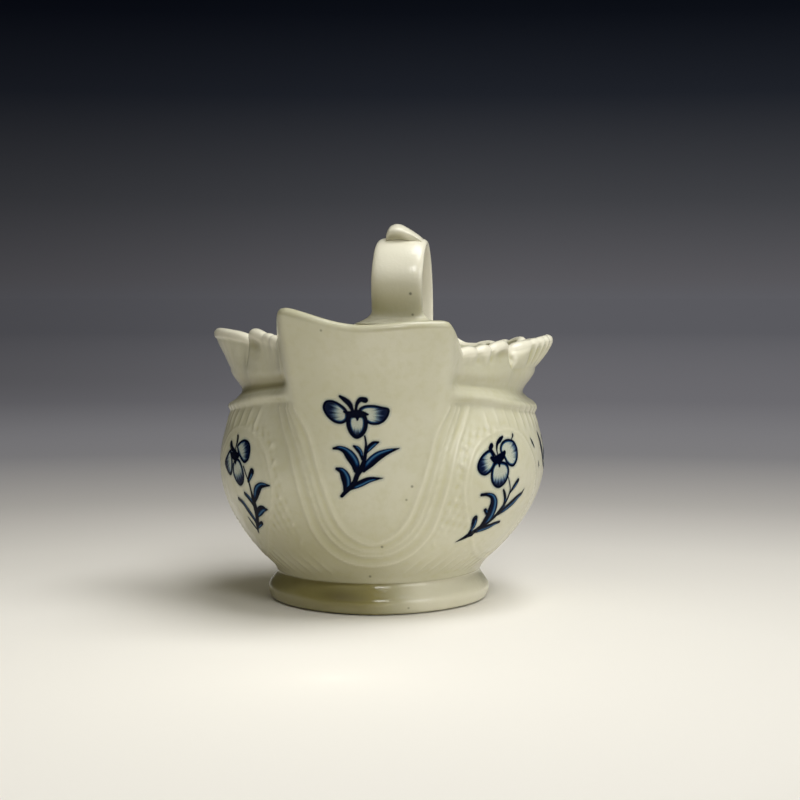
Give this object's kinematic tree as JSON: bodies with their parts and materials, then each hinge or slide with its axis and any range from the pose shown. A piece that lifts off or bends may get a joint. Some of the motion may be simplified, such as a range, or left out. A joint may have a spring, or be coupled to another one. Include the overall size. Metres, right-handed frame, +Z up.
{
  "type": "cream boat",
  "caption": "Small moulded porcelain cream boat with a broad upright spout, shell-lobed sides, high strap handle with thumb scroll, low foot ring and blue flower sprigs.",
  "frame": {"origin": "middle of the boat's outline, on the plane the foot stands on", "axes": "+Z up, -Y the way the spout points, +Y towards the handle, +X to the right of someone who looks at the spout"},
  "size_m": [0.0704, 0.0972, 0.0789],
  "materials": {
    "glazed_body": "glossy cream lead glaze over moulded soft-paste porcelain, painted in cobalt blue under the glaze",
    "glazed_foot": "glossy cream glaze, wiped bare and worn brown at the standing edge",
    "glazed_handle": "glossy cream glaze with a few dark specks"
  },
  "bodies": {
    "root": {"body": "glazed_body", "foot": "glazed_foot", "handle": "glazed_handle", "thumb_rest": "glazed_handle"}
  },
  "joints": []
}
